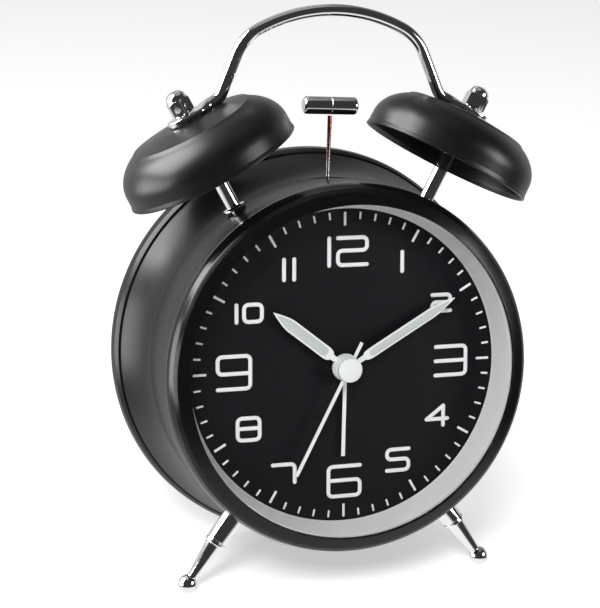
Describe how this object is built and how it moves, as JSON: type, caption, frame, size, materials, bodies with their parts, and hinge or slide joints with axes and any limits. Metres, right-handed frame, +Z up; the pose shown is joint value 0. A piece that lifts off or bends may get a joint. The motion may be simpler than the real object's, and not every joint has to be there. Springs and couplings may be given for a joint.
{
  "type": "alarm clock",
  "caption": "Round twin-bell alarm clock in black metal with a carrying handle, a striking hammer, two small feet and a black dial under a clear lens.",
  "frame": {"origin": "on the ground, under the middle of the bounding box", "axes": "+Z up, +X to the reader's right, the dial faces -Y and leans back about 8 degrees"},
  "size_m": [0.121, 0.0678, 0.1648],
  "materials": {
    "case_paint": "satin black enamel on pressed steel",
    "bezel_paint": "semi-gloss black enamel",
    "bell_paint": "satin black paint on spun steel",
    "chrome": "bright chrome plate",
    "zinc_steel": "bright zinc plate",
    "hammer_rod": "copper-toned wire fading to bare steel",
    "brass": "turned brass",
    "clear_lens": "clear, slightly glossy",
    "reflector_silver": "satin silver coating",
    "dial_black": "matte black",
    "hand_white": "satin white lacquer",
    "gear_plastic": "moulded natural acetal",
    "movement_plastic": "moulded black",
    "cover_plastic": "finely textured black",
    "knob_plastic": "satin black",
    "battery_jacket": "plain glossy sleeve",
    "lamp_white": "clear diffused"
  },
  "bodies": {
    "case": {"case_drum": "case_paint", "bezel_ring": "bezel_paint", "lens": "clear_lens", "reflector_ring": "reflector_silver", "dial_plate": "dial_black", "rear_cover": "cover_plastic", "movement_case": "movement_plastic", "movement_lid": "movement_plastic", "motion_staff": "zinc_steel", "hammer_motor": "zinc_steel", "hammer_bracket": "zinc_steel", "battery": "battery_jacket", "battery_bay": "movement_plastic", "battery_spring": "zinc_steel", "battery_plate": "zinc_steel", "dial_lamp": "lamp_white", "left_bell": "bell_paint", "right_bell": "bell_paint", "left_bell_post": "chrome", "right_bell_post": "chrome", "left_cap_nut": "chrome", "right_cap_nut": "chrome", "left_bell_nut": "zinc_steel", "right_bell_nut": "zinc_steel", "carry_handle": "chrome", "left_foot": "chrome", "right_foot": "chrome", "left_foot_nut": "zinc_steel", "right_foot_nut": "zinc_steel", "rear_screw_1": "zinc_steel", "rear_screw_2": "zinc_steel", "rear_screw_3": "zinc_steel", "rear_screw_4": "zinc_steel"},
    "second_hand": {"second_hand": "hand_white", "second_arbor": "zinc_steel", "hand_cap": "hand_white"},
    "minute_hand": {"minute_hand": "hand_white", "minute_pipe": "brass", "minute_pinion": "gear_plastic"},
    "hour_hand": {"hour_hand": "hand_white", "hour_pipe": "gear_plastic", "hour_wheel": "gear_plastic"},
    "alarm_hand": {"alarm_hand": "hand_white", "alarm_pipe": "gear_plastic", "alarm_wheel": "gear_plastic"},
    "motion_work": {"motion_wheel": "gear_plastic", "motion_pinion": "gear_plastic"},
    "time_knob": {"time_set_knob": "knob_plastic"},
    "alarm_knob": {"alarm_set_knob": "knob_plastic", "alarm_set_pinion": "gear_plastic"},
    "hammer": {"hammer_head": "chrome", "hammer_rod": "hammer_rod", "hammer_lever": "zinc_steel"},
    "motor_rotor": {"motor_crank": "brass"},
    "light_button": {"light_button": "knob_plastic"},
    "alarm_switch": {"alarm_switch": "knob_plastic"},
    "battery_door": {"battery_door": "cover_plastic"}
  },
  "joints": [
    {"name": "time_knob_turn", "type": "hinge", "parent": "case", "child": "time_knob", "pos_m": [0, 0.02378, 0.05946], "axis": [0, 0.9901, -0.1402], "continuous": true},
    {"name": "minute_hand_turn", "type": "hinge", "parent": "case", "child": "minute_hand", "pos_m": [0, -0.01582, 0.06507], "axis": [0, 0.9901, -0.1402], "continuous": true},
    {"name": "hour_hand_turn", "type": "hinge", "parent": "case", "child": "hour_hand", "pos_m": [0, -0.01582, 0.06507], "axis": [0, 0.9901, -0.1402], "continuous": true},
    {"name": "motion_work_turn", "type": "hinge", "parent": "case", "child": "motion_work", "pos_m": [0.00849, -0.00572, 0.07221], "axis": [0, 0.9901, -0.1402], "continuous": true},
    {"name": "second_hand_turn", "type": "hinge", "parent": "case", "child": "second_hand", "pos_m": [0, -0.01582, 0.06507], "axis": [0, 0.9901, -0.1402], "continuous": true},
    {"name": "alarm_knob_turn", "type": "hinge", "parent": "case", "child": "alarm_knob", "pos_m": [-0.01169, 0.02284, 0.05278], "axis": [0, 0.9901, -0.1402], "continuous": true},
    {"name": "alarm_hand_turn", "type": "hinge", "parent": "case", "child": "alarm_hand", "pos_m": [0, -0.01582, 0.06507], "axis": [0, 0.9901, -0.1402], "continuous": true},
    {"name": "hammer_swing", "type": "hinge", "parent": "case", "child": "hammer", "pos_m": [-0.0013, 0.00307, 0.10078], "axis": [0, 0.9901, -0.1402], "range_deg": [-9.3, 8.8]},
    {"name": "motor_turn", "type": "hinge", "parent": "case", "child": "motor_rotor", "pos_m": [-0.0013, 0.00485, 0.09194], "axis": [0, 0.9901, -0.1402], "continuous": true},
    {"name": "light_button_press", "type": "slide", "parent": "case", "child": "light_button", "axis": [0, -0.9901, 0.1402], "range_m": [0, 0.0015], "stiffness_N_per_m": 200},
    {"name": "alarm_switch_slide", "type": "slide", "parent": "case", "child": "alarm_switch", "axis": [0, 0.1402, 0.9901], "range_m": [0, 0.006]},
    {"name": "battery_door_slide", "type": "slide", "parent": "case", "child": "battery_door", "axis": [0, 0.9901, -0.1402], "range_m": [0, 0.02]}
  ],
  "couplings": [
    {"joint": "minute_hand_turn", "follows": "time_knob_turn", "ratio": 1},
    {"joint": "hour_hand_turn", "follows": "time_knob_turn", "ratio": 0.083333},
    {"joint": "motion_work_turn", "follows": "time_knob_turn", "ratio": -0.33333},
    {"joint": "alarm_hand_turn", "follows": "alarm_knob_turn", "ratio": -0.5}
  ]
}
